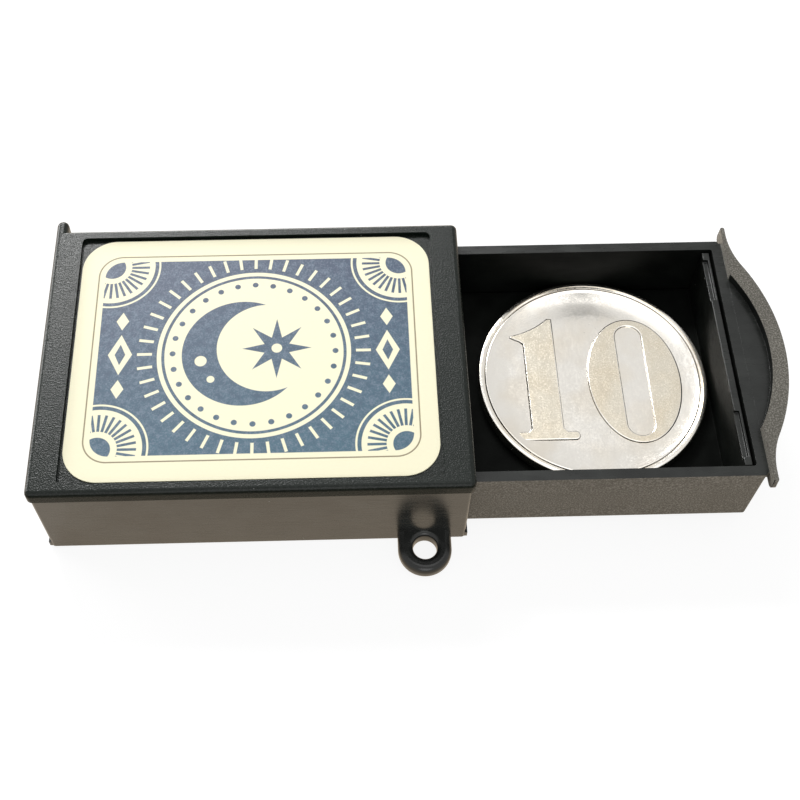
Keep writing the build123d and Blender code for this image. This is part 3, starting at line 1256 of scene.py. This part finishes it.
@dataclass
class Coin:
    """The plated play coin: a double rim round a dished field, and the number 10 in low relief."""

    material: bpy.types.Material
    digit_material: bpy.types.Material
    rim_width: float = 1.45 * MM
    rim_foot: float = 0.11 * MM
    field_depth: float = 0.5 * MM
    dish_start: float = 11.6 * MM
    edge_rounding: float = 0.3 * MM
    rim_grooves: tuple[tuple[float, float], ...] = (  # inset from the edge, drop from the top, in mm
        (0.62, 0.0), (0.70, 0.22), (0.90, 0.26), (1.06, 0.10), (1.18, 0.04), (1.32, 0.05)
    )
    digit_top: float = 10.75 * MM
    digit_rise: float = 0.26 * MM
    digit_edge: float = 0.25 * MM
    one_place: float = -7.45 * MM
    one_stem: float = 4.85 * MM
    one_foot: float = -10.25 * MM
    one_slab: tuple[float, float] = (9.3 * MM, 1.5 * MM)
    one_bracket: float = 0.5 * MM
    one_flag_tip: tuple[float, float] = (-4.35 * MM, 7.75 * MM)
    one_flag_end: float = 0.5 * MM
    one_flag_root: float = 1.6 * MM
    one_flag_hollow: float = 12.0 * MM
    one_top: float = 0.8 * MM
    one_slab_end_radius: float = 0.675 * MM
    one_corner_radius: float = 0.3 * MM
    zero_place: tuple[float, float] = (6.3 * MM, -0.35 * MM)
    zero_size: tuple[float, float] = (14.0 * MM, 21.3 * MM)
    zero_counter: tuple[float, float] = (3.9 * MM, 18.7 * MM)
    zero_counter_radius: float = 1.911 * MM
    sides: int = 192

    def build(self) -> None:
        """Model the coin's blank, then its digits, and join them."""
        low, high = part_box("coin")
        centre = (low + high) / 2
        radius = (high.x - low.x) / 2
        blank = self.disc(centre, radius, low.z, high.z)
        level = high.z - self.field_depth
        for digit in (self.one(centre, level), self.nought(centre, level)):
            self.trim(digit, centre, radius - self.rim_width, level)
            blank.combine(digit, Joining.ADD)
        blank.finish()
        blank.hand_over(self.material, "coin", "coin", "plated_silver")
        blank.item.data.materials.append(self.digit_material)
        for face in blank.item.data.polygons:
            across = math.hypot(face.center.x - centre.x, face.center.y - centre.y)
            on_digit = abs(face.center.z - level - self.digit_rise) < 2 * NEAR and face.normal.z > 0.99
            if on_digit and across < radius - 2 * self.rim_width:  # leaves out the rim at the same level
                face.material_index = 1

    def disc(self, centre: Vector, radius: float, foot: float, top: float) -> Blank:
        """Spin the section of the rim and the dish round the coin's axis and close its two faces.

        Args:
            centre: A point of the axis.
            radius: The coin's radius.
            foot: Level of its underside.
            top: Level of its rim.

        Returns:
            The coin without digits.
        """
        turn = self.edge_rounding
        section = [(self.dish_start, foot), (radius - turn, foot)]
        section += [
            (radius - turn + turn * math.sin(a), foot + turn - turn * math.cos(a))
            for a in (math.pi * k / 8 for k in range(1, 5))
        ]
        section += [
            (radius - turn + turn * math.cos(a), top - turn + turn * math.sin(a))
            for a in (math.pi * k / 8 for k in range(5))
        ]
        section += [(radius - inset * MM, top - drop * MM) for inset, drop in self.rim_grooves]
        dish_end = radius - self.rim_width
        dish_rise = self.field_depth - self.rim_foot
        steps = 10
        for k in range(steps + 1):
            share = 1 - k / steps
            across = self.dish_start + (dish_end - self.dish_start) * share
            section.append((across, top - self.field_depth + dish_rise * share**2))
        spots = [(centre.x + across, centre.y, level) for across, level in section]
        ring = Blank.point("play_coin", spots[0])
        ring.draw(spots[1:])
        ring.shape(
            Pick.VERTICES,
            everything,
            bpy.ops.mesh.spin,
            steps=self.sides,
            angle=2 * math.pi,
            center=(centre.x, centre.y, foot),
            axis=(0, 0, 1),
        )
        ring.enter()
        bpy.ops.mesh.select_all(action="SELECT")
        bpy.ops.mesh.remove_doubles(threshold=2e-6)
        bpy.ops.mesh.select_all(action="DESELECT")
        bpy.ops.mesh.select_mode(type="EDGE")
        bpy.ops.mesh.select_non_manifold()
        bpy.ops.mesh.fill_holes(sides=0)
        bpy.ops.mesh.select_all(action="SELECT")
        bpy.ops.mesh.normals_make_consistent(inside=False)
        ring.leave()
        return ring

    def trim(self, digit: Blank, centre: Vector, radius: float, level: float) -> None:
        """Keep only what of a digit lies inside the rim.

        Args:
            digit: The digit.
            centre: The coin's centre.
            radius: How far out it may reach.
            level: The field's level.
        """
        outside = Blank.rod("outside", (centre.x, centre.y, level - MM), 2 * radius, 2 * MM, 64)
        inside = Blank.rod("inside", (centre.x, centre.y, level - 2 * MM), radius, 4 * MM, self.sides)
        outside.combine(inside, Joining.CUT)
        digit.combine(outside, Joining.CUT)

    def one(self, centre: Vector, level: float) -> Blank:
        """Model the one: a straight stem with a thin hollow flag, on a slab foot.

        Args:
            centre: The coin's centre.
            level: The field's level.

        Returns:
            The digit, sunk a little into the field.
        """
        sunk = level - self.digit_rise
        x, half = centre.x + self.one_place, self.one_stem / 2
        top, foot = centre.y + self.digit_top, centre.y + self.one_foot
        slab_half, slab = self.one_slab[0] / 2, foot + self.one_slab[1]
        tip = Vector((x + self.one_flag_tip[0], centre.y + self.one_flag_tip[1]))
        peak = Vector((x + half - self.one_top, top))
        chord = tip - peak
        chord_turn = math.asin(chord.length / 2 / self.one_flag_hollow)
        outward = Vector((chord.y, -chord.x)).normalized()
        pivot = (peak + tip) / 2 + outward * self.one_flag_hollow * math.cos(chord_turn)
        stem_top = tip.y - self.one_flag_root

        digit = Blank.point("one", (x + slab_half, foot, sunk))
        outline = [
            (x + slab_half, slab),
            (x + half + self.one_bracket, slab),
            (x + half, slab + self.one_bracket),
            (x + half, top),
            tuple(peak),
        ]
        digit.draw([(*spot, sunk) for spot in outline])
        digit.sweep((pivot.x, pivot.y, sunk), -2 * chord_turn, 10)
        outline = [
            (tip.x, tip.y - self.one_flag_end),
            (x - half - self.one_bracket, stem_top + self.one_flag_end),
            (x - half, stem_top),
            (x - half, slab + self.one_bracket),
            (x - half - self.one_bracket, slab),
            (x - slab_half, slab),
            (x - slab_half, foot),
        ]
        digit.draw([(*spot, sunk) for spot in outline])
        digit.fill_and_raise(2 * self.digit_rise)
        digit.round_edges(
            lambda edge: runs_along(edge, 2)
            and abs(middle(edge).x - x) > slab_half - NEAR
            and middle(edge).y < slab + MM,
            self.one_slab_end_radius,
            6,
        )
        corner = Vector((x + half, top))
        digit.round_edges(
            lambda edge: runs_along(edge, 2) and (middle(edge).xy - corner).length < NEAR,
            self.one_corner_radius,
            4,
        )
        self.ease(digit, level + self.digit_rise)
        return digit

    def nought(self, centre: Vector, level: float) -> Blank:
        """Model the nought: an oval with a tall narrow counter.

        Args:
            centre: The coin's centre.
            level: The field's level.

        Returns:
            The digit, sunk a little into the field.
        """
        sunk = level - self.digit_rise
        x, y = centre.x + self.zero_place[0], centre.y + self.zero_place[1]
        across, along = self.zero_size
        oval = Blank.rod("nought", (0, 0, sunk), along / 2, 2 * self.digit_rise, 160)
        self.fit(oval, (across / along, 1, 1), (x, y, 0))
        width, height = self.zero_counter
        slot = Blank.block(
            "counter",
            (x - width / 2, y - height / 2, sunk - MM),
            (x + width / 2, y + height / 2, sunk + 2 * MM),
        )
        slot.round_edges(lambda edge: runs_along(edge, 2), self.zero_counter_radius, 12)
        oval.combine(slot, Joining.CUT)
        self.ease(oval, level + self.digit_rise)
        return oval

    @staticmethod
    def fit(digit: Blank, scale: Point, shift: Point) -> None:
        """Scale a piece about the origin and move it to its place."""
        digit.shape(
            Pick.VERTICES, everything, bpy.ops.transform.resize, value=scale, center_override=(0, 0, 0)
        )
        digit.shape(Pick.VERTICES, everything, bpy.ops.transform.translate, value=shift)

    def ease(self, digit: Blank, top: float) -> None:
        """Slope the edge of a digit's top.

        Args:
            digit: The digit.
            top: Level of its top.
        """
        digit.round_edges(lambda edge: is_top_outline(edge, top), self.digit_edge, 3)


# ---------------------------------------------------------------- studio


@dataclass(frozen=True)
class SoftBox:
    """One soft lamp."""

    name: str
    place: Point
    aim: Point
    size: float
    power: float
    colour: Colour = (1.0, 1.0, 1.0)

    def light(self) -> None:
        """Set the lamp up."""
        lamp = bpy.data.lights.new(self.name, "AREA")
        lamp.shape = "DISK"
        lamp.size = self.size
        lamp.energy = self.power
        lamp.color = self.colour
        item = bpy.data.objects.new(self.name, lamp)
        item.location = self.place
        item.rotation_euler = (Vector(self.aim) - Vector(self.place)).to_track_quat("-Z", "Y").to_euler()
        bpy.context.scene.collection.objects.link(item)


@dataclass
class Studio:
    """A pale floor, plain soft light and the camera at the photograph's viewing angle.

    The camera's values were fitted to the corners of the sleeve and the drawer.
    """

    frame_pixels: float = 800.0
    focal_pixels: float = 1304.3
    principal_pixel: tuple[float, float] = (366.6, 319.9)
    camera_place: Point = (12.46 * MM, -96.89 * MM, 174.63 * MM)
    pitch: float = 57.009
    yaw: float = -2.008
    roll: float = 0.537
    sensor: float = 36.0
    world_light: float = 0.37
    floor_radius: float = 6.0
    floor_glow: float = 0.88
    floor_colour: Colour = (0.80, 0.79, 0.77)
    shade_colour: Colour = (0.22, 0.22, 0.22)
    reflected_tint: Colour = (1.0, 0.83, 0.63)
    lamps: list[SoftBox] = field(
        default_factory=lambda: [
            SoftBox("back_left_softbox", (-0.13, 0.30, 0.345), (-0.03, 0.02, 0.0), 0.09, 0.9),
            SoftBox("back_softbox", (-0.02, 0.31, 0.355), (0.0, 0.02, 0.0), 0.12, 0.45),
            SoftBox("low_back_softbox", (-0.15, 0.70, 0.10), (0.0, 0.0, 0.0), 0.40, 4.0),
            SoftBox("low_left_softbox", (-0.52, 0.36, 0.09), (0.0, 0.0, 0.0), 0.40, 3.5),
            SoftBox("top_softbox", (0.10, 0.05, 0.75), (0.02, 0.0, 0.0), 0.55, 0.6),
            SoftBox("front_fill", (0.05, -0.70, 0.45), (0.02, 0.0, 0.0), 0.5, 1.0),
        ]
    )

    def build(self) -> None:
        """Set up the camera, the lamps, the world and the floor."""
        self.point_camera()
        for lamp in self.lamps:
            lamp.light()
        self.light_world()
        self.lay_floor()
        bpy.context.scene.view_settings.view_transform = "Standard"

    def point_camera(self) -> None:
        """Place and turn the camera."""
        pitch, yaw, roll = (math.radians(angle) for angle in (self.pitch, self.yaw, self.roll))
        forward = Vector(
            (-math.sin(yaw) * math.cos(pitch), math.cos(yaw) * math.cos(pitch), -math.sin(pitch))
        )
        right = Vector((math.cos(yaw), math.sin(yaw), 0))
        upward = right.cross(forward)
        turned_right = right * math.cos(roll) + upward * math.sin(roll)
        turned_up = upward * math.cos(roll) - right * math.sin(roll)
        lens = bpy.data.cameras.new("camera")
        lens.sensor_width = self.sensor
        lens.lens = self.focal_pixels * self.sensor / self.frame_pixels
        lens.shift_x = 0.5 - self.principal_pixel[0] / self.frame_pixels
        lens.shift_y = self.principal_pixel[1] / self.frame_pixels - 0.5
        lens.clip_start = 0.01
        item = bpy.data.objects.new("camera", lens)
        turned = Matrix((turned_right, turned_up, -forward)).transposed()
        item.matrix_world = Matrix.Translation(self.camera_place) @ turned.to_4x4()
        bpy.context.scene.collection.objects.link(item)
        bpy.context.scene.camera = item

    @staticmethod
    def seen_directly(tree: bpy.types.NodeTree) -> bpy.types.NodeSocket:
        """Give 1 for camera, glossy and transmission rays, and 0 for the others.

        Args:
            tree: The node tree that the nodes go into.

        Returns:
            The output socket.
        """
        path = tree.nodes.new("ShaderNodeLightPath")
        seen = Field(tree, path.outputs["Is Camera Ray"])
        for name in ("Is Glossy Ray", "Is Transmission Ray"):
            seen = seen.apply("MAXIMUM", Field(tree, path.outputs[name]))
        return seen.socket

    def light_world(self) -> None:
        """Make the world white where it is seen, and a soft grey as a light."""
        world = bpy.data.worlds.new("studio")
        bpy.context.scene.world = world
        world.use_nodes = True
        tree = world.node_tree
        tree.nodes.clear()
        light, white = (tree.nodes.new("ShaderNodeBackground") for _ in range(2))
        light.inputs["Strength"].default_value = self.world_light
        white.inputs["Strength"].default_value = 1.0
        mix = tree.nodes.new("ShaderNodeMixShader")
        output = tree.nodes.new("ShaderNodeOutputWorld")
        tree.links.new(self.seen_directly(tree), mix.inputs[0])
        tree.links.new(light.outputs[0], mix.inputs[1])
        tree.links.new(white.outputs[0], mix.inputs[2])
        tree.links.new(mix.outputs[0], output.inputs["Surface"])

    def lay_floor(self) -> None:
        """Lay a large pale floor that keeps a faint shadow and looks warm in reflections."""
        bpy.ops.object.select_all(action="DESELECT")
        bpy.ops.mesh.primitive_circle_add(vertices=96, radius=self.floor_radius, fill_type="NGON")
        floor = bpy.context.active_object
        floor.name = "floor"
        material = bpy.data.materials.new("pale_floor")
        material.use_nodes = True
        tree = material.node_tree
        tree.nodes.clear()
        pale, shade = (tree.nodes.new("ShaderNodeBsdfDiffuse") for _ in range(2))
        pale.inputs["Color"].default_value = place(self.floor_colour)
        shade.inputs["Color"].default_value = place(self.shade_colour)
        glow = tree.nodes.new("ShaderNodeEmission")
        glow.inputs["Strength"].default_value = self.floor_glow
        tint = tree.nodes.new("ShaderNodeMix")
        tint.data_type = "RGBA"
        tint.inputs[6].default_value = place(self.reflected_tint)
        tint.inputs[7].default_value = place((1.0, 1.0, 1.0))
        path = tree.nodes.new("ShaderNodeLightPath")
        tree.links.new(path.outputs["Is Camera Ray"], tint.inputs["Factor"])
        tree.links.new(tint.outputs[2], glow.inputs["Color"])
        both = tree.nodes.new("ShaderNodeAddShader")
        mix = tree.nodes.new("ShaderNodeMixShader")
        output = tree.nodes.new("ShaderNodeOutputMaterial")
        tree.links.new(shade.outputs[0], both.inputs[0])
        tree.links.new(glow.outputs[0], both.inputs[1])
        tree.links.new(self.seen_directly(tree), mix.inputs[0])
        tree.links.new(pale.outputs[0], mix.inputs[1])
        tree.links.new(both.outputs[0], mix.inputs[2])
        tree.links.new(mix.outputs[0], output.inputs["Surface"])
        floor.data.materials.append(material)


def main() -> None:
    """Load the frame, build every piece round it and light the scene."""
    logging.basicConfig(level=logging.INFO, format="%(message)s")
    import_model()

    grained = GrainedPlastic("black_grained").make()
    # Painted shade: a low-gloss copy of the grain for the lid's near side.
    lid_near_side_shade = GrainedPlastic("black_grained_near_side_shade", gloss=0.06).make()
    outer_grained = GrainedPlastic(
        "black_grained_drawer", (0.10, 0.094, 0.080), (0.25, 0.238, 0.21), roughness=0.36, gloss=0.14
    ).make()
    smooth = SmoothPlastic("black_smooth").make()
    # Painted shade: a near-black, nearly glossless copy of the smooth plastic for the drawer's inside, the
    # lip band's inner face and the whole slide.
    inner = SmoothPlastic("black_inside_painted_shade", (0.004, 0.0045, 0.004), 0.42, 0.03, 0.04).make()
    # Painted sheen: a lighter, glossier copy of the smooth plastic for the rim, shelf and slide-lip tops.
    rim = SmoothPlastic("black_rim_painted_sheen", (0.010, 0.011, 0.010), 0.25, 0.38, 0.10).make()
    plated = PlatedSilver().make()
    rubbed = PlatedSilver("plated_digits", (0.80, 0.74, 0.62), (0.76, 0.66, 0.50), 0.17).make()

    Studio().build()
    SleeveBase(smooth).build()
    SleeveLid(grained, lid_near_side_shade).build()
    Label(LabelCard()).build()
    Drawer(outer_grained, inner, rim).build()
    CoinSlide(inner, rim).build()
    Coin(plated, rubbed).build()


if __name__ == "__main__":
    main()
